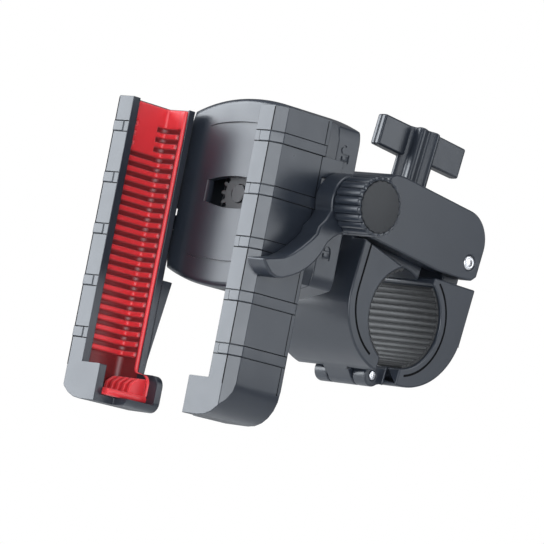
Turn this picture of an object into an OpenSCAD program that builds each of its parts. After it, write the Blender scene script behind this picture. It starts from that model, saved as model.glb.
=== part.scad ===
// Handlebar phone mount: a hinged bar clamp, a ball joint and a two-jaw phone cradle.
// Origin: centre of the handlebar bore. X: along the bar. -Y: the way the screen faces. Z: up.

/* [Handlebar clamp] */
// Diameter of the handlebar that the lined clamp closes on
bar_d = 31.8; // [31.2:0.1:32.4]
// Thickness of the rubber liners round the bar
liner_t = 1.25; // [1.0:0.05:1.3]
// Width of the clamp along the bar
clamp_w = 38; // [37:0.5:42]
// Lean of the clamp's upright towards the rider's side, in degrees
clamp_lean = 7.5; // [6:0.5:9]

/* [Ball joint] */
// Diameter of the ball
ball_d = 17; // [16:0.5:17]
// Distance of the ball centre in front of the bar centre
ball_y = 37; // [36.5:0.5:38]
// Height of the ball centre above the bar centre
cradle_z = 27.6; // [27:0.1:28.5]

/* [Cradle housing] */
// Overall width of the housing
drum_w = 61; // [60:0.5:61]
// Overall height of the housing
drum_h = 64.6; // [64:0.2:66]
// Radius of the arched top and bottom
drum_r = 85; // [80:1:95]
// Wall thickness of the housing shells
wall = 2.4; // [2.2:0.1:2.5]

/* [Phone jaws] */
// Length of each jaw from foot to top
jaw_len = 103; // [100:1:106]
// Depth of each jaw from its front lip to its back face
jaw_depth = 23.4; // [23:0.1:23.6]
// Half of the outside width over both jaws, fully open
jaw_x = 41.3; // [41.2:0.1:41.4]
// Distance each jaw travels to close
jaw_travel = 10; // [9.5:0.5:10]
// Distance between the raised bands round each jaw
band_pitch = 17.6; // [16:0.2:18]

/* [Rack and pinion] */
// Gear module
gear_m = 1; // [1:1:1]
// Number of teeth on the pinion
gear_teeth = 16; // [16:2:16]

/* [Hidden] */
$fn = 72;
eps = 0.01;
far = 200;
gap = 0.05;

// Clamp, in its own leaning frame: y runs back and z runs up the upright
bore_r = bar_d / 2 + liner_t + gap;
half_w = clamp_w / 2;
front_y = -28.4;
shell_r = 24;
shell_c = [front_y + shell_r, 2.8];
tip_y = -6.2;
pin_c = [-1, -21.5];
pin_r = 1.5;
knuckle_r = 3.8;
knuckle_w = 12;
knuckle_gap = 0.3;
pillar_w = 25;
pillar_rear = 7.4;
pillar_top = 40;
screw_y = 1.5;
screw_r = 3;
nut_w = 11;
nut_z = 27;
nut_h = 7.5;
nut_slot = [12.4, 24.5, 36];
arm_base = 19.9;
arm_top = 44.5;
arm_round = 11;
arm_rear = 27.6;
cheek_in = 13.2;
plate_z = 41.5;
rivet_c = [22.3, 27.5];
rivet_r = 2;
rivet_head_r = 2.5;
knob_base = 45.4;
knob_top = 67.2;
wing_span = 36;
wing_t = 5.2;
wing_shift = 1.8;
knob_turn = 4;
barrel_r = 7.2;
knob_socket = 13;
wing_z = 56.2;

// Ball joint
ball_r = ball_d / 2;
ball_c = [0, -ball_y, cradle_z];
ball_up = -ball_y * sin(clamp_lean) + cradle_z * cos(clamp_lean);
ball_out = -ball_y * cos(clamp_lean) - cradle_z * sin(clamp_lean);
neck_r = 4.5;
shank_r = 4;
cup_r = 12;
collar_r = 16.5;

// Cradle
drum_back = -47.6;
drum_front = -71.2;
seam_y = -58;
side_x = drum_w / 2;
corner_r = 12;
jaw_front = -95.8;
jaw_back = jaw_front + jaw_depth;
jaw_top = 53.6;
jaw_foot = jaw_top - jaw_len;
foot_h = 12.5;
tip_r = 3.6;
lip_x = 31;
lug_x = 19.5;
rack_y = -69;
rack_t = 5;
pitch_r = gear_m * gear_teeth / 2;
addendum = 0.8 * gear_m;
dedendum = 1.1 * gear_m;
backlash = 0.14;
pressure = 20;
rack_back = 14;
axis_y = -64.8;
spindle_r = 3.95;
thread_r = 3;
tube_r = 6;
hub_x = 42.2;
hub_w = 8.3;
hub_r = 10;
knob_x = 50.8;
knob_w = 12;
knob_r = 10;
cap_r = 8.65;
boss_xz = [[-17, 22], [17, 22], [-17, -22], [17, -22]];

plastic = [0.22, 0.23, 0.26];
rubber = [0.1, 0.1, 0.1];
silicone = [0.75, 0.12, 0.14];
steel = [0.75, 0.75, 0.77];

// ---------------------------------------------------------------- helpers

// Extrudes a (y, z) outline along X
module along_x(x, w) {
    translate([x, 0, 0]) rotate([90, 0, 90]) linear_extrude(w) children();
}

// Extrudes an (x, z) outline along Y
module along_y(y, d) {
    translate([0, y + d, 0]) rotate([90, 0, 0]) linear_extrude(d) children();
}

// Extrudes an (x, y) outline along Z
module along_z(z, h) {
    translate([0, 0, z]) linear_extrude(h) children();
}

module rod_x(x, len, r, c) {
    translate([x, c[0], c[1]]) rotate([0, 90, 0]) cylinder(h = len, r = r);
}

module rod_y(y, len, r, c) {
    translate([c[0], y, c[1]]) rotate([-90, 0, 0]) cylinder(h = len, r = r);
}

module rod_z(z, len, r, c) {
    translate([c[0], c[1], z]) cylinder(h = len, r = r);
}

// A box from its lowest to its highest corner
module block(low, high) {
    translate(low) cube(high - low);
}

module rounded_rect(w, h, r) {
    square([w, h - 2 * r], center = true);
    square([w - 2 * r, h], center = true);
    for (sx = [-1, 1], sz = [-1, 1]) {
        translate([sx * (w / 2 - r), sz * (h / 2 - r)]) circle(r);
    }
}

module ring(r_out, r_in) {
    difference() {
        circle(r_out);
        circle(r_in);
    }
}

// The part of a circle between two angles, as a wedge that reaches far past it
module sector(a0, a1) {
    steps = 8;
    polygon(concat([[0, 0]], [
        for (i = [0 : steps]) let (a = a0 + (a1 - a0) * i / steps) far * [cos(a), sin(a)]
    ]));
}

module clamp_frame() {
    rotate([-clamp_lean, 0, 0]) children();
}

// ---------------------------------------------------------------- bar clamp

// Front half of the clamp round the bar
module shell_outline() {
    blend_z = 3;
    intersection() {
        translate(shell_c) circle(shell_r);
        translate([-far, -far]) square([far + tip_y, far + shell_c[1] - blend_z]);
    }
    polygon([
        shell_c - [sqrt(shell_r * shell_r - blend_z * blend_z), blend_z],
        [front_y, shell_c[1] + blend_z], [front_y, 19], [-5, 15.6], [-5, shell_c[1] - blend_z]
    ]);
}

module pillar_outline() {
    polygon([
        [front_y, 10], [front_y, pillar_top - 3], [front_y + 3, pillar_top],
        [pillar_rear, pillar_top], [pillar_rear, 10]
    ]);
}

// Web and eye that carry the hinge pin under the bar
module body_knuckle_outline() {
    translate(pin_c) circle(knuckle_r);
    polygon([[-9, -15], [-9, -20.4], [pin_c[0] - 1.2, -25.1], [pin_c[0], -17.8]]);
}

module clamp_body() {
    color(plastic) clamp_frame() difference() {
        union() {
            along_x(-half_w, clamp_w) shell_outline();
            along_x(-pillar_w / 2, pillar_w) pillar_outline();
            along_x(-knuckle_w / 2, knuckle_w) body_knuckle_outline();
        }
        rod_x(-half_w - 1, clamp_w + 2, bore_r, [0, 0]);
        rod_x(-knuckle_w, 2 * knuckle_w, pin_r + gap, pin_c);
        block(
            [-screw_r - 0.6, screw_y - screw_r - 1.1, nut_slot[1]],
            [screw_r + 0.6, pillar_rear + 1, pillar_top + 1]
        );
        block(
            [-nut_slot[0] / 2, screw_y - nut_w / 2 - 1, nut_slot[1]],
            [nut_slot[0] / 2, pillar_rear + 1, nut_slot[2]]
        );
        rod_y(front_y - 1, 17, shank_r + gap / 2, [0, ball_up]);
    }
}

module liner_ring(a0, a1) {
    along_x(-half_w + 1, clamp_w - 2) intersection() {
        ring(bore_r - gap, bar_d / 2);
        sector(a0, a1);
    }
}

module body_liner() {
    color(rubber) clamp_frame() liner_ring(112, 248);
}

// Rear half of the clamp, which swings down on the hinge pin
module lower_jaw_outline() {
    intersection() {
        translate([3.4, 2.9]) circle(25.5);
        translate([4.1, -far]) square([far, far]);
    }
    polygon([[8.6, -1], [28.8, -1], [28.8, 19.6], [8.6, 17.4]]);
}

module lower_jaw() {
    color(plastic) clamp_frame() difference() {
        union() {
            along_x(-half_w, clamp_w) lower_jaw_outline();
            for (x = [-pillar_w / 2, knuckle_w / 2 + knuckle_gap]) {
                along_x(x, (pillar_w - knuckle_w) / 2 - knuckle_gap) {
                    translate(pin_c) circle(knuckle_r);
                    polygon([[-1, -17.75], [-0.6, -25.25], [5, -22.4], [5, -17]]);
                }
            }
            along_x(-pillar_w / 2, pillar_w) {
                translate(rivet_c) circle(4.2);
                polygon([[18.2, 14], [18.2, 27.5], [26, 27.5], [26, 14]]);
            }
        }
        rod_x(-half_w - 1, clamp_w + 2, bore_r, [0, 0]);
        rod_x(-knuckle_w * 2, knuckle_w * 4, pin_r + gap, pin_c);
        rod_x(-half_w, clamp_w, rivet_r + gap / 2, rivet_c);
    }
}

module jaw_liner() {
    color(rubber) clamp_frame() liner_ring(-70, 56);
}

module hinge_pin() {
    color(steel) clamp_frame() rod_x(-pillar_w / 2, pillar_w, pin_r, pin_c);
}

module arm_outline() {
    difference() {
        polygon([
            [-27.3, arm_base], [-25, arm_top - 2.5], [-22.5, arm_top - 0.6], [-18, arm_top],
            [arm_rear, arm_top], [arm_rear, 24], [25.6, 22], [20.5, 21.2], [8, arm_base]
        ]);
        translate([arm_rear - arm_round, arm_top - arm_round]) difference() {
            square(far);
            circle(arm_round);
        }
    }
}

module clamp_arm() {
    color(plastic) clamp_frame() difference() {
        along_x(-half_w, clamp_w) arm_outline();
        along_x(-cheek_in, 2 * cheek_in) polygon([
            [-30, 10], [-30, plate_z], [17.6, plate_z], [26.7, 32.4], [26.7, 10]
        ]);
        rod_z(plate_z - 1, 10, screw_r + gap, [0, screw_y]);
        rod_x(-half_w - 1, clamp_w + 2, rivet_r + gap, rivet_c);
        for (x = [-half_w - 1, half_w - 0.8]) {
            rod_x(x, 1.8, rivet_head_r + gap, rivet_c);
        }
    }
}

module arm_rivet() {
    color(steel) clamp_frame() {
        rod_x(-half_w + 0.1, clamp_w - 0.2, rivet_r, rivet_c);
        for (x = [-half_w - 0.05, half_w - 0.75]) {
            rod_x(x, 0.8, rivet_head_r, rivet_c);
        }
    }
}

module t_knob() {
    color(plastic) clamp_frame() difference() {
        union() {
            rod_z(knob_base, knob_top - knob_base, barrel_r, [0, screw_y]);
            along_z(wing_z, knob_top - wing_z) translate([0, screw_y]) rotate(-knob_turn) {
                for (side = [-1, 1]) {
                    translate([side * wing_shift, side * wing_span / 4]) {
                        square([wing_t, wing_span / 2], center = true);
                    }
                }
            }
        }
        rod_z(knob_base - 1, knob_socket, screw_r + gap / 2, [0, screw_y]);
    }
}

module knob_washer() {
    color(steel) clamp_frame() difference() {
        rod_z(arm_top + gap, 0.8, 6.5, [0, screw_y]);
        rod_z(arm_top - 1, 4, screw_r + gap / 2, [0, screw_y]);
    }
}

module clamp_screw() {
    color(steel) clamp_frame() rod_z(25.8, 31, screw_r, [0, screw_y]);
}

module clamp_nut() {
    color(steel) clamp_frame() difference() {
        block(
            [-nut_w / 2, screw_y - nut_w / 2, nut_z],
            [nut_w / 2, screw_y + nut_w / 2, nut_z + nut_h]
        );
        rod_z(nut_z - 1, nut_h + 2, screw_r + gap, [0, screw_y]);
    }
}

// ---------------------------------------------------------------- ball joint

module ball_stud() {
    color(plastic) clamp_frame() {
        translate([0, ball_out, ball_up]) sphere(ball_r);
        rod_y(ball_out + 6, front_y - ball_out - 6, neck_r, [0, ball_up]);
        rod_y(front_y - 1.6, 1.6, 7, [0, ball_up]);
        rod_y(front_y - 1, 15, shank_r, [0, ball_up]);
    }
}

module socket_cup() {
    lip = 2.5;
    base = drum_back - ball_c[1];
    color(plastic) translate(ball_c) difference() {
        rotate([-90, 0, 0]) rotate_extrude() difference() {
            union() {
                translate([0, base]) square([cup_r, lip - base]);
                translate([0, base]) square([cup_r + 3, 0.8]);
            }
            circle(ball_r + gap);
        }
        for (turn = [45, 135]) {
            rotate([0, turn, 0]) block([-cup_r - 1, -5, -0.7], [cup_r + 1, lip + 1, 0.7]);
        }
    }
}

module collar_nut() {
    grips = 14;
    collar_y = drum_back + 1;
    collar_len = 14.2;
    color(plastic) difference() {
        rod_y(collar_y, collar_len, collar_r, [0, cradle_z]);
        rod_y(collar_y - 1, collar_len - 1, cup_r + gap, [0, cradle_z]);
        rod_y(collar_y, collar_len + 1, 9, [0, cradle_z]);
        for (i = [0 : grips - 1]) {
            translate([0, 0, cradle_z]) rotate([0, i * 360 / grips, 0]) {
                rod_y(collar_y + 2, collar_len, 1.4, [collar_r + 0.6, 0]);
            }
        }
    }
}

// ---------------------------------------------------------------- cradle housing

// Arched outline of the housing, drawn in by a margin
module drum_outline(margin) {
    reach = drum_r - drum_h / 2;
    translate([0, cradle_z]) intersection() {
        translate([0, -reach]) circle(drum_r - margin, $fn = 180);
        translate([0, reach]) circle(drum_r - margin, $fn = 180);
        rounded_rect(drum_w - 2 * margin, drum_h + 4 - 2 * margin, corner_r - margin);
    }
}

// The pairs of slots that let the racks and the jaw blocks in
module rack_slots() {
    for (turn = [0, 180]) {
        translate([0, 0, cradle_z]) rotate([0, turn, 0]) {
            block([side_x - wall - 0.2, -80, 6.7], [side_x + 1, -63.7, rack_back + 0.3]);
        }
    }
}

// Curved window in the front face
module window_outline() {
    window_r = 54;
    window_h = 11;
    translate([0, cradle_z]) intersection() {
        translate([0, window_h / 2 - window_r]) circle(window_r);
        translate([0, window_r - window_h / 2]) circle(window_r);
        square([28, window_h], center = true);
    }
}

// Long shallow groove that follows the arch, side +1 at the top and -1 at the bottom
module arch_groove(side) {
    groove_r = 100;
    groove_z = 23.6;
    along_y(drum_front - 1, 1.8) intersection() {
        translate([0, cradle_z + side * (groove_z - groove_r)]) {
            ring(groove_r + 0.5, groove_r - 0.5, $fn = 180);
        }
        translate([0, cradle_z + side * groove_z]) square([38, 12], center = true);
    }
}

// Sunk padlock sign on the right-hand wall: a body and a shackle
module padlock(c, shackle_turn) {
    along_x(side_x - 0.4, 1) translate(c) {
        difference() {
            translate([-1.9, -2.7]) square([3.8, 3]);
            translate([-1.2, -2]) square([2.4, 1.6]);
        }
        translate([-1.4, 0.3]) rotate(shackle_turn) translate([1.4, 0]) {
            intersection() {
                ring(1.7, 1.1);
                translate([-3, 0]) square([6, 3]);
            }
        }
    }
}

module front_housing() {
    color(plastic) difference() {
        union() {
            difference() {
                along_y(drum_front, seam_y - drum_front) drum_outline(0);
                along_y(drum_front + 2, seam_y - drum_front) drum_outline(wall);
            }
            for (c = boss_xz) {
                rod_y(drum_front + 1, seam_y - drum_front - 1, 3.2, [c[0], cradle_z + c[1]]);
            }
            rod_x(side_x - wall, hub_x - 1.2 - side_x + wall, tube_r, [axis_y, cradle_z]);
        }
        along_y(drum_front - 1, 4) window_outline();
        rack_slots();
        for (c = boss_xz) {
            rod_y(seam_y - 9, 10, 1.27, [c[0], cradle_z + c[1]]);
        }
        rod_x(side_x - wall - 1, far, spindle_r + gap, [axis_y, cradle_z]);
        for (side = [-1, 1]) {
            arch_groove(side);
        }
    }
}

module rear_housing() {
    color(plastic) difference() {
        union() {
            difference() {
                along_y(seam_y, drum_back - seam_y) drum_outline(0);
                along_y(seam_y - 1, drum_back - seam_y + 1 - wall) drum_outline(wall);
            }
            for (c = boss_xz) {
                rod_y(seam_y, drum_back - seam_y, 3.4, [c[0], cradle_z + c[1]]);
            }
            rod_y(rack_y + rack_t + 0.2, drum_back - rack_y - rack_t - 0.2, 4, [0, cradle_z]);
        }
        for (c = boss_xz) {
            rod_y(seam_y - 1, far, 1.4, [c[0], cradle_z + c[1]]);
            rod_y(drum_back - 2.2, far, 2.5, [c[0], cradle_z + c[1]]);
        }
        rod_y(rack_y, 14, 2 + gap / 2, [0, cradle_z]);
        padlock([-53.5, cradle_z + 18], 60);
        padlock([-53.5, cradle_z - 14.8], 0);
    }
}

module housing_screws() {
    color(steel) for (c = boss_xz) {
        rod_y(drum_back - 2.1, 1.7, 2.35, [c[0], cradle_z + c[1]]);
        rod_y(seam_y - 6, drum_back - seam_y + 4.5, 1.22, [c[0], cradle_z + c[1]]);
    }
}

// ---------------------------------------------------------------- jaws

// Points on a quarter circle round a centre, from one angle to the next
function corner(c, r, a0, a1) = [
    for (i = [0 : 6]) let (a = a0 + (a1 - a0) * i / 6) c + r * [cos(a), sin(a)]
];

// Front outline of the right jaw: upright, outer bottom corner and the foot under the phone
module jaw_outline(inner_x, foot_x, outer_x, low, outer_r) {
    high = jaw_foot + foot_h;
    polygon(concat(
        [[inner_x, jaw_top + 2], [outer_x, jaw_top + 2]],
        corner([outer_x - outer_r, low + outer_r], outer_r, 0, -90),
        corner([foot_x + tip_r, low + tip_r], tip_r, -90, -180),
        corner([foot_x + tip_r, high - tip_r], tip_r, 180, 90),
        [[inner_x, high]]
    ));
}

// Space inside the jaw's channel and foot, drawn in by a margin
module jaw_hollow(margin) {
    intersection() {
        along_z(jaw_foot, far) polygon([
            [0, jaw_front + 3.2 + margin], [35.4 - margin, jaw_front + 3.2 + margin],
            [36.4 - margin, jaw_front + 22.1 - margin], [26 + margin, jaw_front + 22.1 - margin],
            [26 + margin, jaw_front + 20.7 - margin], [0, jaw_front + 20.7 - margin]
        ]);
        along_y(jaw_front, jaw_depth) {
            jaw_outline(10 + margin, 10 + margin, 37, jaw_foot + 2.6 + margin, 9);
        }
    }
}

module rack_bar() {
    tooth_half = PI * gear_m / 4 - backlash / 2;
    slope = tan(pressure);
    tip = pitch_r - addendum;
    root = pitch_r + dedendum;
    translate([-jaw_travel, root]) square([jaw_x + jaw_travel, rack_back - root]);
    for (i = [-3 : 5]) {
        translate([(i + 0.5) * PI * gear_m, 0]) polygon([
            [-tooth_half + addendum * slope, tip], [tooth_half - addendum * slope, tip],
            [tooth_half + dedendum * slope, root + eps], [-tooth_half - dedendum * slope, root + eps]
        ]);
    }
}

module jaw_channel() {
    difference() {
        intersection() {
            along_y(jaw_front, jaw_depth) jaw_outline(25.3, 15, jaw_x, jaw_foot, 12);
            along_z(jaw_foot - 1, jaw_len + 1) polygon([
                [0, jaw_front], [38.1, jaw_front], [jaw_x, jaw_front + 3.2],
                [jaw_x, jaw_back], [0, jaw_back]
            ]);
        }
        jaw_hollow(0);
        // The front lip and the front of the foot stop short of the back wall
        along_y(jaw_front - 1, 10) polygon([
            [0, -far], [21.9, -far], [21.9, jaw_foot + foot_h], [lip_x, jaw_foot + foot_h],
            [lip_x, far], [0, far]
        ]);
    }
    along_x(25.4, 3) polygon([
        [jaw_back - 1, jaw_foot + 14], [jaw_back - 1, -4.4], [-67.8, -4.4],
        [-72, jaw_foot + 18]
    ]);
}

module jaw_bands() {
    band_w = 3.3;
    band_t = 0.25;
    for (i = [-2 : 2]) {
        z = 8.05 + i * band_pitch - band_w / 2;
        along_z(z, band_w) polygon([
            [33.4, jaw_front - band_t], [38.2, jaw_front - band_t],
            [jaw_x + band_t, jaw_front + 3.1], [jaw_x + band_t, jaw_back - 0.5],
            [jaw_x - 1, jaw_back - 0.5], [jaw_x - 1, jaw_front + 4], [36, jaw_front + 1],
            [33.4, jaw_front + 1]
        ]);
    }
}

module jaw_half() {
    jaw_channel();
    jaw_bands();
    along_y(rack_y, rack_t) translate([0, cradle_z]) rack_bar();
    block(
        [jaw_x - 2.7, jaw_back - eps, cradle_z + 7.2],
        [jaw_x, rack_y + rack_t, cradle_z + rack_back]
    );
}

module right_jaw() {
    color(plastic) difference() {
        union() {
            jaw_half();
            block([lug_x, rack_y, cradle_z - 5.2], [lug_x + 6, -60.4, cradle_z + rack_back]);
        }
        rod_x(lug_x - 1, 8, thread_r + gap, [axis_y, cradle_z]);
    }
}

// Same jaw turned round for the other side, with its rack under the pinion
module left_jaw() {
    color(plastic) mirror([1, 0, 0]) {
        jaw_channel();
        jaw_bands();
        along_y(rack_y, rack_t) translate([0, cradle_z]) mirror([0, 1]) rack_bar();
        block(
            [jaw_x - 2.7, jaw_back - eps, cradle_z - rack_back],
            [jaw_x, rack_y + rack_t, cradle_z - 7.2]
        );
    }
}

// Soft lining of the right jaw: side face, back face and the floor of the foot
module pad_half() {
    intersection() {
        difference() {
            jaw_hollow(gap);
            along_z(jaw_foot + 5, far) polygon([
                [0, jaw_front], [33.7, jaw_front], [34.8, jaw_front + 20], [0, jaw_front + 20]
            ]);
        }
        block([0, jaw_front, jaw_foot], [jaw_x, jaw_back, jaw_top - 0.4]);
        along_y(jaw_front, jaw_depth) jaw_outline(26.1, 19, 37, jaw_foot, 4);
    }
}

module right_pad() {
    color(silicone) pad_half();
}

module left_pad() {
    color(silicone) mirror([1, 0, 0]) pad_half();
}

// ---------------------------------------------------------------- drive and lock

// Roll angle of an involute at radius r, in degrees
function involute(base, r) = r <= base ? 0 : let (a = acos(base / r)) tan(a) * 180 / PI - a;

// Half of a tooth's angle at radius r
function tooth_angle(base, r) =
    90 / gear_teeth - backlash / pitch_r * 90 / PI + involute(base, pitch_r) - involute(base, r);

module pinion_outline() {
    base = pitch_r * cos(pressure);
    tip = pitch_r + addendum;
    root = pitch_r - dedendum;
    steps = 5;
    radii = [for (i = [0 : steps]) base + (tip - base) * i / steps];
    circle(root);
    for (t = [0 : gear_teeth - 1]) {
        rotate(90 + t * 360 / gear_teeth) polygon(concat(
            [(root - 0.3) * [cos(tooth_angle(base, base)), -sin(tooth_angle(base, base))]],
            [for (r = radii) r * [cos(tooth_angle(base, r)), -sin(tooth_angle(base, r))]],
            [for (i = [steps : -1 : 0]) let (r = radii[i], a = tooth_angle(base, r)) r * [cos(a), sin(a)]],
            [(root - 0.3) * [cos(tooth_angle(base, base)), sin(tooth_angle(base, base))]]
        ));
    }
}

module pinion() {
    color(rubber) difference() {
        along_y(rack_y, rack_t) translate([0, cradle_z]) pinion_outline();
        rod_y(rack_y - 1, rack_t + 2, 2 + gap, [0, cradle_z]);
    }
}

module pinion_pin() {
    color(rubber) {
        rod_y(rack_y - 0.1, 14, 2, [0, cradle_z]);
        rod_y(rack_y - 0.7, 0.6, 3.2, [0, cradle_z]);
    }
}

module spindle() {
    shoulder_x = side_x - wall;
    color(steel) {
        rod_x(10.5, shoulder_x - 10.5, thread_r, [axis_y, cradle_z]);
        rod_x(shoulder_x, 61.2 - shoulder_x, spindle_r, [axis_y, cradle_z]);
    }
}

module spindle_clip() {
    color(steel) difference() {
        rod_x(side_x - wall - 1.1, 1, 4.2, [axis_y, cradle_z]);
        rod_x(side_x - wall - 2, 3, thread_r + gap / 2, [axis_y, cradle_z]);
    }
}

module lock_washer() {
    color(steel) difference() {
        rod_x(hub_x - 1.1, 1, 5.9, [axis_y, cradle_z]);
        rod_x(hub_x - 2, 3, spindle_r + gap, [axis_y, cradle_z]);
    }
}

// Finger arm of the lock lever, seen along the spindle
module lever_arm_outline() {
    polygon([
        [-99.8, 2.7], [-95.6, 3.7], [-90.9, 4.9], [-87.2, 7], [-83.9, 9.7], [-80.7, 12.7],
        [-78.5, 15.2], [-78.1, 17.6], [-75.6, 20.5], [-74, 24], [-66, 18], [-67, 17.8],
        [-70.5, 15.6], [-73, 13.2], [-74.1, 11], [-75, 9], [-77.2, 6], [-79.8, 3.4],
        [-82.8, 1.3], [-85.9, -0.4], [-90.1, -2], [-93, -2.2], [-95.6, -1.4], [-98.2, 0.8]
    ]);
}

module lock_lever() {
    color(plastic) difference() {
        union() {
            rod_x(hub_x, hub_w, hub_r, [axis_y, cradle_z]);
            along_x(hub_x, hub_w) lever_arm_outline();
        }
        rod_x(hub_x - 1, hub_w + 2, spindle_r + gap, [axis_y, cradle_z]);
    }
}

module adjust_knob() {
    flutes = 20;
    color(plastic) difference() {
        rod_x(knob_x, knob_w, knob_r, [axis_y, cradle_z]);
        rod_x(knob_x - 1, 12, spindle_r + gap / 2, [axis_y, cradle_z]);
        rod_x(knob_x + knob_w - 0.9, 2, cap_r + gap, [axis_y, cradle_z]);
        for (i = [0 : flutes - 1]) {
            translate([0, axis_y, cradle_z]) rotate([i * 360 / flutes, 0, 0]) {
                rod_x(knob_x - 1, knob_w + 2, 0.75, [knob_r + 0.15, 0]);
            }
        }
    }
}

module knob_cap() {
    color(rubber) rod_x(knob_x + knob_w - 0.85, 1.05, cap_r, [axis_y, cradle_z]);
}

clamp_body();
body_liner();
lower_jaw();
jaw_liner();
hinge_pin();
clamp_arm();
arm_rivet();
t_knob();
knob_washer();
clamp_screw();
clamp_nut();
ball_stud();
socket_cup();
collar_nut();
rear_housing();
front_housing();
housing_screws();
right_jaw();
right_pad();
left_jaw();
left_pad();
pinion();
pinion_pin();
spindle();
spindle_clip();
lock_washer();
lock_lever();
adjust_knob();
knob_cap();
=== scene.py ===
"""Looks of the handlebar phone mount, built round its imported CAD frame."""

import math

import bmesh
import bpy
from mathutils import Matrix, Vector


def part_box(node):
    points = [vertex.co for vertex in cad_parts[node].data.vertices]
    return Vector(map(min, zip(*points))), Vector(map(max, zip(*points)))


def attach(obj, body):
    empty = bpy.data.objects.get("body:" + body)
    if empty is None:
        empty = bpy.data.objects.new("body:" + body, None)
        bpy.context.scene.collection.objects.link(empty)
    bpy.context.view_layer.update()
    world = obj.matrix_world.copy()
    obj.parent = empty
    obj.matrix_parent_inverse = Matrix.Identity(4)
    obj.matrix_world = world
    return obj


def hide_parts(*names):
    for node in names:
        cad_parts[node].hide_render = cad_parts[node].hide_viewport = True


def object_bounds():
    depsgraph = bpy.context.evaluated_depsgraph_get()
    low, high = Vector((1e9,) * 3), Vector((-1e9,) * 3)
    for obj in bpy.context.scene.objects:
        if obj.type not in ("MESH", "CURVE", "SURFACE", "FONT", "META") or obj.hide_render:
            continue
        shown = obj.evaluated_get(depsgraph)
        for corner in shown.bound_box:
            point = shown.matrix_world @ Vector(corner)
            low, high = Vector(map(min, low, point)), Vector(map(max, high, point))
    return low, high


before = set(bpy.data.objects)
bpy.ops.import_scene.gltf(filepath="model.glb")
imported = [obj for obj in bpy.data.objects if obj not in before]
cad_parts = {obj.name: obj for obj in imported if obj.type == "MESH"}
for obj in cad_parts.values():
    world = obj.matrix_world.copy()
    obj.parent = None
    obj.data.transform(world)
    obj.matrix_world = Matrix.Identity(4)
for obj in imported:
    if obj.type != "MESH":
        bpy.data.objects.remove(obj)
cad_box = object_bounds()

MM = 0.001
SCENE = bpy.context.scene


# ------------------------------------------------------------------ places, read from the frame, in mm

def corners(node):
    """Lowest and highest corner of a CAD node, in millimetres."""
    low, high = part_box(node)
    return low / MM, high / MM


def centre(node):
    """Middle of a CAD node's box, in millimetres."""
    low, high = corners(node)
    return (low + high) / 2


JAW_LOW, JAW_HIGH = corners("right_jaw")
PAD_LOW, PAD_HIGH = corners("right_pad")
KNOB_LOW, KNOB_HIGH = corners("adjust_knob")
FRONT_Y = corners("front_housing")[0].y
CRADLE_Z = centre("knob_cap").z
AXIS_Y = centre("knob_cap").y
BAND_T = 0.25
JAW_X = JAW_HIGH.x - BAND_T
JAW_FRONT = JAW_LOW.y + BAND_T
JAW_TOP = JAW_HIGH.z
JAW_FOOT = JAW_LOW.z
JAW_DEPTH = 23.4
FOOT_H = 12.5
LIP_X = 31.0
CLAMP_LEAN = 7.5
LEANING = Matrix.Rotation(math.radians(-CLAMP_LEAN), 4, "X")


# ------------------------------------------------------------------ mesh tools

# For each axis: where an outline's first and second number go, and the axis itself
AXES = {"x": (1, 2, 0), "y": (0, 2, 1), "z": (0, 1, 2)}
WELD = 2e-6
TINY_R = 0.001


def new_object(name, verts, faces):
    """A mesh object from points in millimetres, with its faces turned outwards."""
    mesh = bpy.data.meshes.new(name)
    mesh.from_pydata([Vector(v) * MM for v in verts], [], faces)
    bm = bmesh.new()
    bm.from_mesh(mesh)
    bmesh.ops.remove_doubles(bm, verts=bm.verts, dist=1e-7)
    bmesh.ops.recalc_face_normals(bm, faces=bm.faces)
    bm.to_mesh(mesh)
    bm.free()
    obj = bpy.data.objects.new(name, mesh)
    SCENE.collection.objects.link(obj)
    return obj


def loft(name, rings, closed=True, capped=True):
    """Skins a list of equally long point rings."""
    count = len(rings[0])
    verts = [p for ring in rings for p in ring]
    faces = []
    span = count if closed else count - 1
    for k in range(len(rings) - 1):
        for i in range(span):
            j = (i + 1) % count
            faces.append((k * count + i, k * count + j, (k + 1) * count + j, (k + 1) * count + i))
    if capped:
        faces.append(tuple(range(count)))
        faces.append(tuple(range((len(rings) - 1) * count, len(rings) * count)))
    return new_object(name, verts, faces)


def prism(name, outline, axis, low, high):
    """Extrudes a closed outline along an axis. The outline's two numbers are the other axes, in order."""
    a, b, c = AXES[axis]
    rings = []
    for level in (low, high):
        ring = []
        for p in outline:
            point = [0.0, 0.0, 0.0]
            point[a], point[b], point[c] = p[0], p[1], level
            ring.append(point)
        rings.append(ring)
    return loft(name, rings)


def lathe(name, profile, spot, steps=96):
    """Turns a profile of (distance along X, radius) round the line along X through spot."""
    rings = []
    for along, radius in profile:
        r = max(radius, TINY_R)
        turns = [2 * math.pi * k / steps for k in range(steps)]
        rings.append([(spot[0] + along, spot[1] + r * math.cos(t), spot[2] + r * math.sin(t)) for t in turns])
    return loft(name, rings)


def arc(cx, cy, r, a0, a1, steps=12):
    """Points on a circle, with angles in degrees."""
    turns = [math.radians(a0 + (a1 - a0) * k / steps) for k in range(steps + 1)]
    return [(cx + r * math.cos(t), cy + r * math.sin(t)) for t in turns]


def rounded(points, radii, steps=6):
    """Rounds the corners of a closed outline, each by its own radius."""
    out = []
    count = len(points)
    for i in range(count):
        p = Vector(points[i])
        before = Vector(points[i - 1]) - p
        after = Vector(points[(i + 1) % count]) - p
        r = radii[i]
        if r <= 0:
            out.append(tuple(p))
            continue
        half = before.angle(after) / 2
        reach = min(r / math.tan(half), before.length * 0.48, after.length * 0.48)
        start, end = p + before.normalized() * reach, p + after.normalized() * reach
        for k in range(steps + 1):
            t = k / steps
            out.append(tuple(start * (1 - t) ** 2 + p * 2 * t * (1 - t) + end * t * t))
    return out


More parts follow.
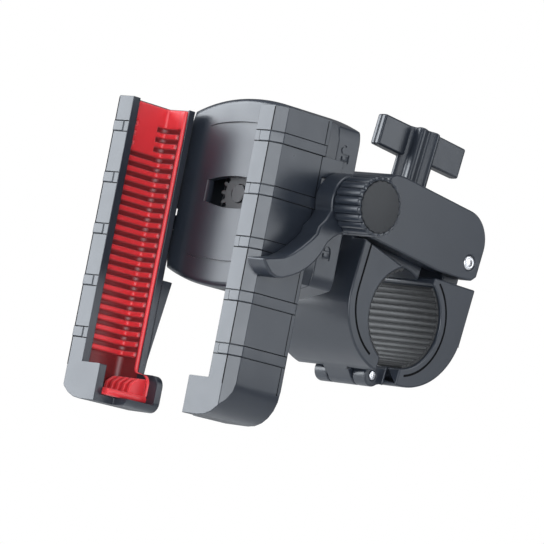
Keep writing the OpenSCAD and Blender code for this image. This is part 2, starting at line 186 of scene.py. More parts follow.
def cut_away(target, others):
    """Cuts the other objects out of target and removes them."""
    for other in others:
        mod = target.modifiers.new("cut", "BOOLEAN")
        mod.operation = "DIFFERENCE"
        mod.solver = "MANIFOLD"
        mod.object = other
        bpy.context.view_layer.update()
        graph = bpy.context.evaluated_depsgraph_get()
        result = bpy.data.meshes.new_from_object(target.evaluated_get(graph))
        target.modifiers.clear()
        target.data = result
        bpy.data.objects.remove(other)
    return target


def mirrored(obj, name):
    """A copy of obj on the other side of the X = 0 plane."""
    mesh = obj.data.copy()
    mesh.transform(Matrix.Scale(-1, 4, (1, 0, 0)))
    mesh.flip_normals()
    twin = bpy.data.objects.new(name, mesh)
    SCENE.collection.objects.link(twin)
    for mod in obj.modifiers:
        copy = twin.modifiers.new(mod.name, mod.type)
        for key in ("width", "segments", "limit_method", "angle_limit", "harden_normals",
                    "use_clamp_overlap", "keep_sharp", "merge_threshold"):
            if hasattr(mod, key):
                setattr(copy, key, getattr(mod, key))
    return twin


def soften(obj, width, segments=3, angle=28, weld=False):
    """Rounds the edges by a bevel and evens the shading."""
    if weld:
        joint = obj.modifiers.new("weld", "WELD")
        joint.merge_threshold = WELD
    bevel = obj.modifiers.new("bevel", "BEVEL")
    bevel.width = width * MM
    bevel.segments = segments
    bevel.limit_method = "ANGLE"
    bevel.angle_limit = math.radians(angle)
    bevel.harden_normals = True
    bevel.use_clamp_overlap = False
    even = obj.modifiers.new("normals", "WEIGHTED_NORMAL")
    even.keep_sharp = True
    for poly in obj.data.polygons:
        poly.use_smooth = True
    return obj


def lean(obj):
    """Turns a piece built in the clamp's upright frame to its leaning place."""
    obj.data.transform(LEANING)
    return obj


def finish(obj, material, body, slot, *nodes):
    """Gives a piece its material and body, and hides the CAD nodes it stands for. The slot is not used."""
    obj.data.materials.clear()
    obj.data.materials.append(material)
    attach(obj, body)
    if nodes:
        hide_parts(*nodes)
    return obj


# ------------------------------------------------------------------ materials

def moulded(name, colour, rough, grain, spread=0.25, bump=0.12, sheen=0.0, soft=0.0, metal=0.0):
    """A moulded surface: cloudy colour, uneven gloss and a fine grain, all from noise."""
    mat = bpy.data.materials.new(name)
    mat.use_nodes = True
    nodes, links = mat.node_tree.nodes, mat.node_tree.links
    bsdf = nodes["Principled BSDF"]
    coord = nodes.new("ShaderNodeTexCoord")
    cloud = nodes.new("ShaderNodeTexNoise")
    cloud.inputs["Scale"].default_value = 45
    cloud.inputs["Detail"].default_value = 5
    links.new(coord.outputs["Object"], cloud.inputs["Vector"])
    tint = nodes.new("ShaderNodeValToRGB")
    tint.color_ramp.elements[0].position = 0.3
    tint.color_ramp.elements[1].position = 0.7
    tint.color_ramp.elements[0].color = [c * (1 - spread) for c in colour] + [1]
    tint.color_ramp.elements[1].color = [min(1, c * (1 + spread)) for c in colour] + [1]
    links.new(cloud.outputs["Fac"], tint.inputs["Fac"])
    links.new(tint.outputs["Color"], bsdf.inputs["Base Color"])
    smudge = nodes.new("ShaderNodeTexNoise")
    smudge.inputs["Scale"].default_value = 160
    smudge.inputs["Detail"].default_value = 3
    links.new(coord.outputs["Object"], smudge.inputs["Vector"])
    gloss = nodes.new("ShaderNodeMapRange")
    gloss.inputs["To Min"].default_value = rough - 0.05
    gloss.inputs["To Max"].default_value = rough + 0.05
    links.new(smudge.outputs["Fac"], gloss.inputs["Value"])
    links.new(gloss.outputs["Result"], bsdf.inputs["Roughness"])
    fine = nodes.new("ShaderNodeTexNoise")
    fine.inputs["Scale"].default_value = grain
    fine.inputs["Detail"].default_value = 2
    links.new(coord.outputs["Object"], fine.inputs["Vector"])
    relief = nodes.new("ShaderNodeBump")
    relief.inputs["Strength"].default_value = bump
    relief.inputs["Distance"].default_value = 0.00006
    links.new(fine.outputs["Fac"], relief.inputs["Height"])
    links.new(relief.outputs["Normal"], bsdf.inputs["Normal"])
    bsdf.inputs["Metallic"].default_value = metal
    bsdf.inputs["Sheen Weight"].default_value = sheen
    if soft:
        bsdf.inputs["Subsurface Weight"].default_value = soft
        bsdf.inputs["Subsurface Radius"].default_value = (0.0012, 0.0003, 0.0002)
        bsdf.inputs["Subsurface Scale"].default_value = 1.0
    return mat


def paint_shade_at_low(mat, attribute, low):
    """Paints shade into a material: darker base colour where the mesh's attribute is 0, as in the bottom of a
    groove.
    """
    nodes, links = mat.node_tree.nodes, mat.node_tree.links
    bsdf = nodes["Principled BSDF"]
    base = bsdf.inputs["Base Color"].links[0].from_socket
    value = nodes.new("ShaderNodeAttribute")
    value.attribute_name = attribute
    shade = nodes.new("ShaderNodeMapRange")
    shade.inputs["To Min"].default_value = low
    links.new(value.outputs["Fac"], shade.inputs["Value"])
    mix = nodes.new("ShaderNodeVectorMath")
    mix.operation = "SCALE"
    links.new(base, mix.inputs["Vector"])
    links.new(shade.outputs["Result"], mix.inputs["Scale"])
    links.new(mix.outputs["Vector"], bsdf.inputs["Base Color"])


def turned_steel(name):
    """Bright steel with fine lathe lines round the X axis."""
    mat = moulded(name, (0.62, 0.62, 0.64), 0.26, 2500, spread=0.06, metal=1.0, bump=0.05)
    nodes, links = mat.node_tree.nodes, mat.node_tree.links
    coord = nodes.new("ShaderNodeTexCoord")
    wave = nodes.new("ShaderNodeTexWave")
    wave.wave_type = "RINGS"
    wave.rings_direction = "X"
    wave.inputs["Scale"].default_value = 900
    wave.inputs["Distortion"].default_value = 1.5
    links.new(coord.outputs["Object"], wave.inputs["Vector"])
    relief = nodes.new("ShaderNodeBump")
    relief.inputs["Strength"].default_value = 0.08
    relief.inputs["Distance"].default_value = 0.00003
    links.new(wave.outputs["Fac"], relief.inputs["Height"])
    links.new(relief.outputs["Normal"], nodes["Principled BSDF"].inputs["Normal"])
    return mat


RED = (0.62, 0.022, 0.030)
PLASTIC = moulded("satin_plastic", (0.017, 0.021, 0.029), 0.30, 3200, spread=0.08)
# Matte near-black for the strips that paint the shadow of grooves beside bands and rims.
SHADOW_BLACK = moulded("painted_shadow_black", (0.003, 0.003, 0.0035), 0.85, 3200)
SHADOW_BLACK.node_tree.nodes["Principled BSDF"].inputs["Specular IOR Level"].default_value = 0.1
DARK = moulded("dark_plastic", (0.013, 0.014, 0.016), 0.5, 2600, spread=0.12)
SILICONE = moulded("red_silicone", RED, 0.42, 3800, spread=0.10, soft=0.25, sheen=0.15)
# The same red silicone with painted shade: darker base colour in the grooves between the ribs.
RIBBED_SHADED = moulded("ribbed_silicone_painted_shade", RED, 0.42, 3800, spread=0.10, soft=0.25, sheen=0.15)
paint_shade_at_low(RIBBED_SHADED, "relief", 0.25)
RUBBER = moulded("black_rubber", (0.007, 0.0072, 0.008), 0.55, 3000, spread=0.2, bump=0.25, sheen=0.1)
STEEL = turned_steel("turned_steel")
BY_SLOT = {
    "body_plastic": PLASTIC, "dark_plastic": DARK, "red_silicone": SILICONE,
    "black_rubber": RUBBER, "steel": STEEL,
}


# ------------------------------------------------------------------ CAD nodes that are shown

SLOTS = {node: slot for slot, nodes in {
    "body_plastic": [
        "clamp_body", "lower_jaw", "clamp_arm", "t_knob", "socket_cup", "collar_nut",
        "rear_housing", "front_housing", "right_jaw", "left_jaw", "lock_lever", "adjust_knob",
    ],
    "dark_plastic": ["pinion", "pinion_pin", "knob_cap"],
    "red_silicone": ["right_pad", "left_pad"],
    "black_rubber": ["body_liner", "jaw_liner"],
    "steel": [
        "hinge_pin", "arm_rivet", "knob_washer", "clamp_screw", "clamp_nut", "ball_stud",
        "housing_screws", "spindle", "spindle_clip", "lock_washer",
    ],
}.items() for node in nodes}
# Widths of the rounded edges of the nodes that stay in view
WIDTHS = {"socket_cup": 0.4, "collar_nut": 0.5, "right_jaw": 0.22, "left_jaw": 0.22}
SMALL_EDGE = 0.15


def dress(node, width):
    """Gives a CAD node the material of its slot and soft edges."""
    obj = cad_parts[node]
    slot = SLOTS[node]
    obj.data.materials.clear()
    obj.data.materials.append(BY_SLOT[slot])
    soften(obj, width, weld=True)


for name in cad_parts:
    dress(name, WIDTHS.get(name, SMALL_EDGE))


# ------------------------------------------------------------------ red pads

PITCH = 3.4
RIB_TOP = JAW_FOOT + 95.1
RIB_COUNT = 24
# Ribs that the smooth plateau at the top covers on the side face
COVERED = 3
RIB_RISE = 1.15
SIDE_DEPTH = 15.6
SIDE_X = 33.75
SIDE_SLOPE = 0.055
VALLEY_X = 34.2
STRIP_X = 26.2
STRIP_R = 1.8
TOE_R = 3.4
PAD_WALL = 2.0
SIDE_POINTS = 30
BACK_POINTS = 26


def smooth(t):
    """Eases from 0 to 1."""
    t = max(0.0, min(1.0, t))
    return t * t * (3 - 2 * t)


def rise(value, edge, blend=0.35):
    """0 well below edge, 1 well above it."""
    return smooth((value - edge) / blend + 0.5)


def crest(z):
    """1 on a rib's crest and 0 in the groove between two ribs."""
    step = (RIB_TOP - z) / PITCH
    near = round(step)
    if near < 0 or near > RIB_COUNT - 1:
        return 1.0 if near < 0 else 0.0
    return rise(abs(step - near) * PITCH, PITCH / 4, 0.5)


def pad_end(z):
    """How far in the pad's back strip reaches at height z: narrow above the foot, wide in it."""
    ledge, low, tip, r = JAW_FOOT + FOOT_H, PAD_LOW.z, PAD_LOW.x, TOE_R
    if z > ledge + STRIP_R:
        return STRIP_X
    if z > ledge:
        return STRIP_X - STRIP_R + math.sqrt(max(0, STRIP_R ** 2 - (ledge + STRIP_R - z) ** 2))
    if z > ledge - r:
        return tip + r - math.sqrt(max(0, r * r - (z - ledge + r) ** 2))
    if z < low + r:
        return tip + r - math.sqrt(max(0, r * r - (low + r - z) ** 2))
    return tip


def pad_levels(z):
    """What the ribs, the smooth plateau, the top and the bottom do at height z."""
    ribbed = z > RIB_TOP - (RIB_COUNT - 1) * PITCH - PITCH / 4
    plateau = rise(z, RIB_TOP - (COVERED - 0.45) * PITCH)
    top = rise(z, RIB_TOP + PITCH * 0.32)
    low = rise(-z, -(PAD_LOW.z + 1.5))
    return crest(z) if ribbed else 0.0, plateau, top, low


def side_relief(s, z):
    """1 where the side face stands proud and 0 in its grooves, s mm behind the front edge."""
    ribs, plateau, top, low = pad_levels(z)
    flat = plateau * rise(s, 3.0) * rise(-s, -13.4)
    return max(rise(-s, -1.7), flat, top, low, ribs)


def back_relief(u, z):
    """The same for the back face, u mm from the valley."""
    ribs, plateau, top, low = pad_levels(z)
    rim = rise(pad_end(z) + u - VALLEY_X, -1.3)
    return max(rim, ribs * rise(-u, -5.4), low, top * 0.9)


def pad_ring(z):
    """Closed section of the right pad at height z. The inner face carries the ribs."""
    front, back = PAD_LOW.y + 0.1, PAD_HIGH.y
    ring = []
    for k in range(SIDE_POINTS):
        s = SIDE_DEPTH * k / (SIDE_POINTS - 1)
        y = front + 0.05 + s
        x = SIDE_X + (y - JAW_FRONT) * SIDE_SLOPE
        ring.append((x + RIB_RISE * (1 - side_relief(s, z)) + 0.7 * smooth(1 - s / 0.8), y, z))
    inner = pad_end(z)
    reach = VALLEY_X - inner
    for k in range(BACK_POINTS):
        u = reach * k / (BACK_POINTS - 1)
        sink = 1 - back_relief(u, z) + 0.7 * smooth(1 - (reach - u) / 0.7)
        ring.append((VALLEY_X - u, back - PAD_WALL + sink, z))
    return ring + [(inner, back, z), (36.2, back, z), (35.3, front, z)]


def store_relief(obj):
    """Keeps the relief as an attribute, so that the material can paint shade into the grooves."""
    layer = obj.data.attributes.new("relief", "FLOAT", "POINT")
    for v in obj.data.vertices:
        x, y, z = v.co / MM
        if y < PAD_HIGH.y - 2.6:
            layer.data[v.index].value = side_relief(y - PAD_LOW.y - 0.15, z)
        else:
            layer.data[v.index].value = back_relief(VALLEY_X - x, z)


def build_pad():
    """The right-hand pad: ribbed lining, floor of the foot and five toe ribs."""
    low, high = PAD_LOW.z, PAD_HIGH.z
    levels = []
    z = low + 0.02
    while z < RIB_TOP - (RIB_COUNT - 0.4) * PITCH:
        levels.append(z)
        z += 0.45
    while z < high - 0.6:
        levels.append(z)
        z += PITCH / 14
    levels += [high - 0.6, high - 0.25, high - 0.05]
    rings = [pad_ring(z) for z in levels]
    face = SIDE_POINTS + BACK_POINTS
    for shrink, k in ((0.25, -2), (0.6, -1)):
        rings[k] = [
            (x + (shrink if i < face else 0), y + (shrink if SIDE_POINTS <= i < face else 0), z)
            for i, (x, y, z) in enumerate(rings[k])
        ]
    body = loft("right_pad_body", rings)
    store_relief(body)
    outline = rounded([(PAD_LOW.x, low), (35.3, low), (35.3, low + 2.4), (PAD_LOW.x, low + 2.4)],
                      [1.1, 0.2, 0.2, 1.1], 5)
    floor = prism("right_pad_floor", outline, "y", PAD_LOW.y + 0.05, PAD_HIGH.y - 1)
    soften(floor, 0.5, 3)
    parts = [body, floor]
    for i in range(5):
        x = 32.7 - 2.95 * i
        toe = rounded([(-75.4, -38.6), (-79.2, -39.0), (-82.0, -41.2), (-82.6, -44.6), (-75.4, -44.6)],
                      [0, 1.5, 1.6, 0, 0], 5)
        rib = prism(f"right_toe_rib_{i + 1}", toe, "x", x - 0.75, x + 0.75)
        parts.append(soften(rib, 0.5, 3))
    for poly in body.data.polygons:
        poly.use_smooth = True
    return parts


for part in build_pad():
    twin = mirrored(part, part.name.replace("right", "left"))
    nodes = ("right_pad",) if part.name == "right_pad_body" else ()
    # The ribbed lining takes the silicone with painted groove shade.
    skin = RIBBED_SHADED if nodes else SILICONE
    finish(part, skin, "right", "red_silicone", *nodes)
    finish(twin, skin, "left", "red_silicone", *[n.replace("right", "left") for n in nodes])


# ------------------------------------------------------------------ copies of CAD nodes, painted shadow lines on the jaws

def even_shading(obj, angle=35):
    """Smooth faces with sharp edges kept, evened by weighted normals."""
    obj.data.polygons.foreach_set("use_smooth", [True] * len(obj.data.polygons))
    obj.data.set_sharp_from_angle(angle=math.radians(angle))
    even = obj.modifiers.new("normals", "WEIGHTED_NORMAL")
    even.keep_sharp = True
    return obj


def clean_copy(node, name, width, angle):
    """A copy of a CAD node without its triangle edges, with rounded edges."""
    bm = bmesh.new()
    bm.from_mesh(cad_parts[node].data)
    bmesh.ops.remove_doubles(bm, verts=bm.verts, dist=WELD)
    bmesh.ops.dissolve_limit(bm, angle_limit=math.radians(0.4), verts=bm.verts, edges=bm.edges)
    bm.verts.ensure_lookup_table()
    places = [v.co / MM for v in bm.verts]
    faces = [[v.index for v in face.verts] for face in bm.faces]
    bm.free()
    return soften(new_object(name, places, faces), width, 3, angle)


def spare_edges(obj, angle, spared):
    """Limits the bevel of obj to its sharp edges, without those that the test names."""
    bm = bmesh.new()
    bm.from_mesh(obj.data)
    limit = math.radians(angle)
    weights = []
    for edge in bm.edges:
        middle = (edge.verts[0].co + edge.verts[1].co) / (2 * MM)
        sharp = len(edge.link_faces) == 2 and edge.calc_face_angle(0) > limit
        weights.append(1.0 if sharp and not spared(middle) else 0.0)
    bm.free()
    layer = obj.data.attributes.new("bevel_weight_edge", "FLOAT", "EDGE")
    layer.data.foreach_set("value", weights)
    obj.modifiers["bevel"].limit_method = "WEIGHT"
    return obj


def joined(name, objs):
    """One object out of several."""
    mesh = bpy.data.meshes.new(name)
    bm = bmesh.new()
    for obj in objs:
        bm.from_mesh(obj.data)
        bpy.data.objects.remove(obj)
    bm.to_mesh(mesh)
    bm.free()
    out = bpy.data.objects.new(name, mesh)
    SCENE.collection.objects.link(out)
    return out


LINE_W = 0.34
LINE_D = 0.3
PROUD = 0.03
CHAMFER = 3.2
BAND_HALF = 1.65
BAND_PITCH = 17.6
BAND_MIDDLE = 8.05
BANDS = [BAND_MIDDLE + BAND_PITCH * i for i in (-2, -1, 0, 1, 2)]


def jaw_shadow_lines(name):
    """Near-black strips beside the bands, between lip and chamfer and along the rear edge: painted shadow
    standing in for the grooves there.
    """
    f, x, b, lip = JAW_FRONT, JAW_X, JAW_FRONT + JAW_DEPTH, LIP_X + 0.2
    out, turn, bend = PROUD, PROUD * 0.4, 0.1
    wrap = [
        (lip, f - out), (x - CHAMFER - turn, f - out), (x + out, f + CHAMFER - turn),
        (x + out, b - LINE_D), (x - LINE_D, b - LINE_D), (x - LINE_D, f + CHAMFER + bend),
        (x - CHAMFER - bend, f + LINE_D), (lip, f + LINE_D),
    ]
    lines = []
    for z in BANDS:
        for low in (z - BAND_HALF - LINE_W, z + BAND_HALF):
            lines.append(prism("line", wrap, "z", low, low + LINE_W))
    low, high = JAW_FOOT + FOOT_H - 1.5, JAW_TOP - 0.5
    x0, x1 = x - CHAMFER - 0.3, x - CHAMFER + 0.1
    seam = [(x0, f - out), (x1, f - out), (x1, f + LINE_D), (x0, f + LINE_D)]
    lines.append(prism("line", seam, "z", low, high))
    y0, y1 = b - 1.75, b - 1.45
    rear = [(x - LINE_D, y0), (x + out, y0), (x + out, y1), (x - LINE_D, y1)]
    lines.append(prism("line", rear, "z", low, high))
    return joined(name, lines)


# Near-black strips on both jaws: painted shadow of the grooves beside the bands.
right_lines = jaw_shadow_lines("right_jaw_lines")
left_lines = mirrored(right_lines, "left_jaw_lines")
finish(right_lines, SHADOW_BLACK, "right", "body_plastic")
finish(left_lines, SHADOW_BLACK, "left", "body_plastic")


# ------------------------------------------------------------------ clamp with its painted shadow lines and ribs

BORE_R = 17.2
SHELL_C, SHELL_R = (-4.4, 2.8), 24.0
HALF_W = 19.0
BODY_RIM = 2.9
JAW_RIM = 2.1
RIM_LINE = 0.8
LINE_TOP = 18.2
LINER_HALF = 18.0
BAR_R = 15.92


def ring_prism(centre_yz, r0, r1, a0, a1, x0, x1):
    """Part of a ring between two radii and two angles, from x0 to x1."""
    outline = arc(*centre_yz, r1, a0, a1, 40) + arc(*centre_yz, r0, a1, a0, 40)
    return prism("line", outline, "x", x0, x1)


def clamp_shadow_lines(name, on_body):
    """A near-black strip that sets off the rim on both end faces: painted shadow standing in for a groove."""
    lines = []
    for x0, x1 in ((HALF_W - LINE_D, HALF_W + PROUD), (-HALF_W - PROUD, -HALF_W + LINE_D)):
        if on_body:
            r = SHELL_R - BODY_RIM
            lines.append(ring_prism(SHELL_C, r - RIM_LINE, r, 180, 250, x0, x1))
            y0, z0 = SHELL_C[0] - r, SHELL_C[1]
            y1 = y0 + RIM_LINE
            upright = [(y0, z0), (y1, z0), (y1, LINE_TOP), (y0, LINE_TOP)]
            lines.append(prism("line", upright, "x", x0, x1))
        else:
            r = BORE_R + JAW_RIM
            lines.append(ring_prism((0, 0), r, r + RIM_LINE, -70, 55, x0, x1))
    return lean(joined(name, lines))


for node, body, width in (
    ("clamp_body", "root", 0.7), ("lower_jaw", "rear_jaw", 0.6), ("clamp_arm", "arm", 0.6),
    ("lock_lever", "lever", 0.7),
):
    finish(clean_copy(node, node + "_shell", width, 32), PLASTIC, body, "body_plastic", node)
# Near-black strips on the clamp's end faces: painted shadow of the rim grooves.
finish(clamp_shadow_lines("clamp_body_lines", True), SHADOW_BLACK, "root", "body_plastic")
finish(clamp_shadow_lines("lower_jaw_lines", False), SHADOW_BLACK, "rear_jaw", "body_plastic")


def ribbed_liner(name, a0, a1):
    """Rubber lining with round ribs along the bar."""
    pitch, outer, edge = 7.6, BORE_R - 0.05, 0.35
    ends = ((-LINER_HALF, edge), (-LINER_HALF + edge, 0), (LINER_HALF - edge, 0), (LINER_HALF, edge))
    rings = []
    for x, cut in ends:
        ring = [(x, y, z) for y, z in arc(0, 0, outer, a0, a1, 160)]
        for k in range(480, -1, -1):
            a = a0 + (a1 - a0) * k / 480
            wave = abs(math.sin(math.pi * (a - a0) / pitch)) ** 0.55
            r = BAR_R + cut + 0.75 * (1 - wave)
            t = math.radians(a)
            ring.append((x, r * math.cos(t), r * math.sin(t)))
        rings.append(ring)
    return even_shading(lean(loft(name, rings)), 60)


finish(ribbed_liner("body_liner_ribs", 112, 248), RUBBER, "root", "black_rubber", "body_liner")
finish(ribbed_liner("jaw_liner_ribs", -70, 56), RUBBER, "rear_jaw", "black_rubber", "jaw_liner")


# ------------------------------------------------------------------ tee knob

def tee_knob():
    """Lobed barrel with two offset wings, built upright and then leaned with the clamp."""
    screw_y, base, wing_low, top = 1.5, 45.4, 56.2, 67.2
    half, thick, offset, turn = 18.0, 5.2, 1.8, math.radians(-4)
    barrel_r, lobe, lobes, lobe_turn = 6.2, 0.95, 6, 0.785
    levels = [(base, 0.6), (base + 0.25, 0.2), (base + 0.7, 0.0)]
    levels += [(top - 0.8, 0.0), (top - 0.3, 0.2), (top, 0.7)]
    rings = []
    for z, shrink in levels:
        ring = []
        for k in range(192):
            t = 2 * math.pi * k / 192
            r = barrel_r + lobe * math.cos(lobes * (t + lobe_turn)) - shrink
            ring.append((r * math.cos(t), screw_y + r * math.sin(t), z))
        rings.append(ring)
    parts = [even_shading(loft("t_knob_barrel", rings), 50)]
    for side, name in ((-1, "t_knob_wing_front"), (1, "t_knob_wing_rear")):
        x, root, end, notch = side * offset, side * 3.0, side * half, side * (half - 0.5)
        x0, x1, draft = x - thick / 2, x + thick / 2, 0.4
        outline = [
            (x0, root), (x1, root), (x1 - draft, end), (x + 0.25, end), (x, notch), (x - 0.25, end),
            (x0 + draft, end),
        ]
        outline = rounded(outline, [0, 0, 1.6, 0.3, 0, 0.3, 1.6], 5)
        c, s = math.cos(turn), math.sin(turn)
        spun = [(px * c - py * s, screw_y + px * s + py * c) for px, py in outline]
        parts.append(soften(prism(name, spun, "z", wing_low, top), 0.7, 3, 50))
    return [lean(part) for part in parts]


for part in tee_knob():
    nodes = ("t_knob",) if part.name == "t_knob_barrel" else ()
    finish(part, PLASTIC, "tee", "body_plastic", *nodes)


# ------------------------------------------------------------------ adjusting knob, its cap and the rivet

RIDGES = 20
KNOB_STEPS = 480


def knob_ring(x, radius_at):
    """A ring round the spindle's axis whose radius depends on the angle."""
    ring = []
    for k in range(KNOB_STEPS):
        t = 2 * math.pi * k / KNOB_STEPS
        r = radius_at(abs(math.cos(RIDGES / 2 * t)))
        ring.append((x, AXIS_Y + r * math.cos(t), CRADLE_Z + r * math.sin(t)))
    return ring


def fluted_knob():
    """Knob with twenty round ridges."""
    x0, r, long = KNOB_LOW.x, 10.0, KNOB_HIGH.x - KNOB_LOW.x
    # Distance along the knob, radius of the ridges, depth of the flutes
    profile = [
        (0, 7.0, 0), (0, 9.0, 0.2), (0.25, 9.6, 0.7), (0.8, r, 1), (long - 0.9, r, 1),
        (long - 0.35, r - 0.22, 1), (long - 0.02, r - 0.75, 0.8), (long - 0.12, 8.75, 0.15),
        (long - 0.8, 8.7, 0.15), (long - 0.9, 4.0, 0),
    ]
    rings = []
    for along, radius, amount in profile:
        depth = 0.95 * amount
        rings.append(knob_ring(x0 + along, lambda ridge: radius - depth * (1 - ridge ** 0.6)))
    return even_shading(loft("adjust_knob_fluted", rings), 40)


def scalloped_cap():
    """Flat dark disc whose edge follows the knob's ridges."""
    x1, r = KNOB_HIGH.x, 8.6
    rings = []
    for along, radius in ((-0.8, r), (0.0, r), (0.14, r - 0.12), (0.19, r - 0.35), (0.19, 0.0)):
        depth = 0.3 if radius else 0
        rings.append(knob_ring(x1 + along, lambda ridge: max(radius - depth * (1 - ridge), TINY_R)))
    return even_shading(loft("knob_cap_disc", rings), 40)


finish(fluted_knob(), PLASTIC, "screw_drive", "body_plastic", "adjust_knob")
finish(scalloped_cap(), DARK, "screw_drive", "dark_plastic", "knob_cap")


def rivet():
    """Domed rivet through both cheeks of the arm."""
    spot, cheek = (0, 22.3, 27.5), 18.2
    head = [
        (0, 0), (0, 2.0), (0.25, 2.35), (0.55, 2.47), (0.75, 2.3), (0.85, 1.8), (0.75, 1.5), (0.88, 1.1),
        (0.9, 0),
    ]
    right = lathe("head", [(cheek + a, r) for a, r in head], spot, 48)
    left = lathe("head", [(-cheek - a, r) for a, r in head], spot, 48)
    end = cheek + 0.1
    rod = lathe("rod", [(-end, 0), (-end, 2), (end, 2), (end, 0)], spot, 48)
    return even_shading(lean(joined("arm_rivet_domed", [right, left, rod])), 50)


finish(rivet(), STEEL, "rear_jaw", "steel", "arm_rivet")


# ------------------------------------------------------------------ domed front and rear of the housing

HOUSING_X = 30.5
HOUSING_Z = 32.3
HOUSING_R = 12.0
HOUSING_BOW = 85.0
HOUSING_WALL = 2.4
SEAM_Y = -58.0
PADLOCK_Y = -53.5
PADLOCKS_Z = (18, -14.8)


def drum_outline(margin):
    """Arched outline of the housing as points (x, z), drawn in by a margin."""
    w, h, r, bow = HOUSING_X - margin, HOUSING_Z - margin, HOUSING_R - margin * 0.6, HOUSING_BOW - margin
    reach = HOUSING_BOW - HOUSING_Z
    top = []
    for k in range(25):
        x = (w - TINY_R) * k / 24
        z = math.sqrt(bow * bow - x * x) - reach
        if x > w - r:
            z = min(z, h + 2 - r + math.sqrt(max(0, r * r - (x - w + r) ** 2)))
        top.append((x, z))
    half = top + [(w, top[-1][1] * (1 - k / 8)) for k in range(1, 9)]
    right = half + [(x, -z) for x, z in reversed(half[:-1])]
    left = [(-x, z) for x, z in reversed(right[1:-1])]
    return [(x, CRADLE_Z + z) for x, z in right + left]


def domed_shell():
    """The front shell's outside: a rounded rim and a face that bulges forwards."""
    rim, bulge = 2.2, 240.0
    rings = []
    for y, margin in [(SEAM_Y, 0), (FRONT_Y + rim, 0)] + [
            (FRONT_Y + rim - rim * math.sin(t), rim * (1 - math.cos(t)))
            for t in [math.radians(a) for a in (22, 45, 68, 90)]]:
        rings.append([(x, y, z) for x, z in drum_outline(margin)])
    last = rings[-1]
    for scale in (0.94, 0.86, 0.76, 0.64, 0.5, 0.35, 0.2, 0.08):
        rings.append([(x * scale, y, CRADLE_Z + (z - CRADLE_Z) * scale) for x, y, z in last])
    domed = []
    for ring in rings:
        bulging = ring[0][1] < FRONT_Y + rim + 0.1
        domed.append([(x, y + (x * x / (2 * bulge) if bulging else 0), z) for x, y, z in ring])
    return loft("front_housing_domed", domed)


def window_cutter():
    """The curved window, with a bevelled rim."""
    wide, tall, bow = 14.0, 5.5, 54.0
    window = []
    for grow, y in ((1.3, FRONT_Y - 0.4), (0.0, FRONT_Y + 1.4), (0.0, FRONT_Y + 4)):
        half, ring = wide + grow, []
        for sign in (1, -1):
            for k in range(21):
                x = sign * (-half + 2 * half * k / 20)
                z = sign * (math.sqrt(bow * bow - min(abs(x), wide) ** 2) - bow + tall)
                ring.append((x, y, CRADLE_Z + z))
        window.append(ring)
    return loft("cut", window)


def arch_groove(sign):
    """A groove with thin ends above or below the window."""
    arch, half, height = 100.0, 19, 24.1
    groove = []
    for r, ks in ((arch, range(41)), (arch - 1.0, range(40, -1, -1))):
        for k in ks:
            x = -half + 2 * half * k / 40
            taper = 0.5 * (1 - min(1, (half - abs(x)) / 6)) ** 2
            radius = r + (-taper if r == arch else taper)
            groove.append((x, CRADLE_Z + sign * (math.sqrt(radius * radius - x * x) - arch + height)))
    return prism("cut", groove, "y", FRONT_Y - 1, FRONT_Y + 0.9)


def domed_housing():
    """Front shell with its hollow, window, two arch grooves and the slots of the racks."""
    shell = domed_shell()
    cuts = [prism("cut", drum_outline(HOUSING_WALL), "y", FRONT_Y + 2.9, SEAM_Y + 1), window_cutter()]
    cuts += [arch_groove(1), arch_groove(-1)]
    slots = []
    for sign in (1, -1):
        z0, z1 = sorted((CRADLE_Z + sign * 6.7, CRADLE_Z + sign * 14.3))
        x0, x1 = sorted((sign * 27.9, sign * 31.5))
        slots.append(prism("cut", [(x0, z0), (x1, z0), (x1, z1), (x0, z1)], "y", -80, -63.7))
    cut_away(shell, cuts + [joined("cut_slots", slots)])
    return even_shading(shell, 38)


def near_padlock(p):
    """True on the side faces round the padlock signs."""
    off = min(abs(p.z - CRADLE_Z - z) for z in PADLOCKS_Z)
    return abs(p.x) > 28 and abs(p.y - PADLOCK_Y) < 3.8 and off < 4.0


rear = spare_edges(clean_copy("rear_housing", "rear_housing_shell", 0.6, 30), 30, near_padlock)
finish(rear, PLASTIC, "cradle", "body_plastic", "rear_housing")
finish(domed_housing(), PLASTIC, "cradle", "body_plastic", "front_housing")
TUBE = [(28.0, 4.1), (28.0, 6.0), (40.6, 6.0), (41.0, 5.6), (41.0, 4.1)]
tube = lathe("spindle_tube", TUBE, (0, AXIS_Y, CRADLE_Z))
finish(even_shading(tube, 40), PLASTIC, "cradle", "body_plastic")


# ------------------------------------------------------------------ floor, light and camera

def stage_floor():
    """A plain pale floor, far below the mount."""
    reach = 4000
    floor_z = cad_box[0][2] / MM - 250
    steps = [-reach + 2 * reach * k / 16 for k in range(17)]
    floor = loft("floor", [[(x, y, floor_z) for y in steps] for x in steps], closed=False, capped=False)
    mat = moulded("pale_floor", (0.82, 0.82, 0.82), 0.8, 200, spread=0.015, bump=0.02)
    floor.data.materials.append(mat)
    for poly in floor.data.polygons:
        poly.use_smooth = True


def softbox(name, direction, distance, width, height, radiance):
    """A rectangular light that faces the middle of the object."""
    data = bpy.data.lights.new(name, "AREA")
    data.shape = "RECTANGLE"
    data.size, data.size_y = width, height
    data.energy = radiance * math.pi * width * height
    data.color = (0.90, 0.95, 1.0)
    lamp = bpy.data.objects.new(name, data)
    aim = Vector(direction).normalized()
    lamp.location = MIDDLE + aim * distance
    lamp.rotation_euler = aim.to_track_quat("Z", "Y").to_euler()
    lamp.visible_camera = False
    SCENE.collection.objects.link(lamp)


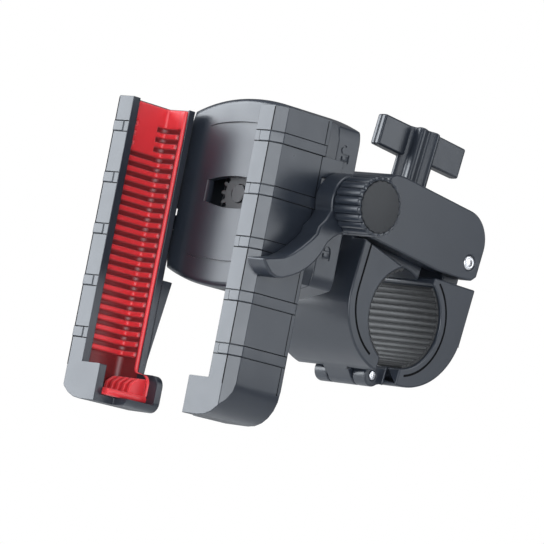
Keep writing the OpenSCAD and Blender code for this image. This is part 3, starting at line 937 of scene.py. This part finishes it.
def white_world():
    """White to the camera, a soft grey room to everything else."""
    world = bpy.data.worlds.new("studio")
    world.use_nodes = True
    nodes, links = world.node_tree.nodes, world.node_tree.links
    room = nodes["Background"]
    coord = nodes.new("ShaderNodeTexCoord")
    split = nodes.new("ShaderNodeSeparateXYZ")
    links.new(coord.outputs["Generated"], split.inputs["Vector"])
    ramp = nodes.new("ShaderNodeValToRGB")
    ramp.color_ramp.elements[0].position = 0.2
    ramp.color_ramp.elements[0].color = (0.30, 0.30, 0.31, 1)
    ramp.color_ramp.elements[1].position = 0.85
    ramp.color_ramp.elements[1].color = (0.95, 0.96, 1.0, 1)
    shift = nodes.new("ShaderNodeMapRange")
    shift.inputs["From Min"].default_value = -1
    shift.inputs["From Max"].default_value = 1
    links.new(split.outputs["Z"], shift.inputs["Value"])
    links.new(shift.outputs["Result"], ramp.inputs["Fac"])
    links.new(ramp.outputs["Color"], room.inputs["Color"])
    room.inputs["Strength"].default_value = 0.25
    white = nodes.new("ShaderNodeBackground")
    white.inputs["Color"].default_value = (1, 1, 1, 1)
    path = nodes.new("ShaderNodeLightPath")
    mix = nodes.new("ShaderNodeMixShader")
    links.new(path.outputs["Is Camera Ray"], mix.inputs["Fac"])
    links.new(room.outputs["Background"], mix.inputs[1])
    links.new(white.outputs["Background"], mix.inputs[2])
    links.new(mix.outputs["Shader"], nodes["World Output"].inputs["Surface"])
    SCENE.world = world


def place_camera():
    """Camera fitted to the picture's perspective: low, in front and to the right, slightly rolled."""
    a, e, roll = math.radians(46.62), math.radians(-4.97), math.radians(10.93)
    back = Vector((math.sin(a) * math.cos(e), -math.cos(a) * math.cos(e), math.sin(e)))
    right = Vector((math.cos(a), math.sin(a), 0))
    up = back.cross(right)
    x_axis = math.cos(roll) * right + math.sin(roll) * up
    y_axis = -math.sin(roll) * right + math.cos(roll) * up
    data = bpy.data.cameras.new("camera")
    data.sensor_width = 36
    data.lens = 303.9
    data.clip_start, data.clip_end = 0.05, 20
    cam = bpy.data.objects.new("camera", data)
    rotation = Matrix((x_axis, y_axis, back)).transposed().to_4x4()
    fitted_origin = Vector((0, -0.0958, 0.00805))
    spot = 0.03343 * x_axis - 0.01226 * y_axis + 1.510 * back + fitted_origin
    cam.matrix_world = Matrix.Translation(spot) @ rotation
    SCENE.collection.objects.link(cam)
    SCENE.camera = cam


MIDDLE = (Vector(cad_box[0]) + Vector(cad_box[1])) / 2
stage_floor()
softbox("camera_side", (0.70, -0.72, -0.02), 1.3, 0.75, 0.75, 8.0)
softbox("front_left", (-0.74, -0.62, 0.25), 1.0, 0.7, 0.9, 8.8)
softbox("top", (0.1, -0.35, 1), 0.8, 0.8, 0.6, 3.0)
softbox("rear_right", (0.9, 0.6, 0.35), 0.9, 0.4, 0.7, 3.5)
white_world()
place_camera()
SCENE.view_settings.view_transform = "Standard"
SCENE.view_settings.look = "None"
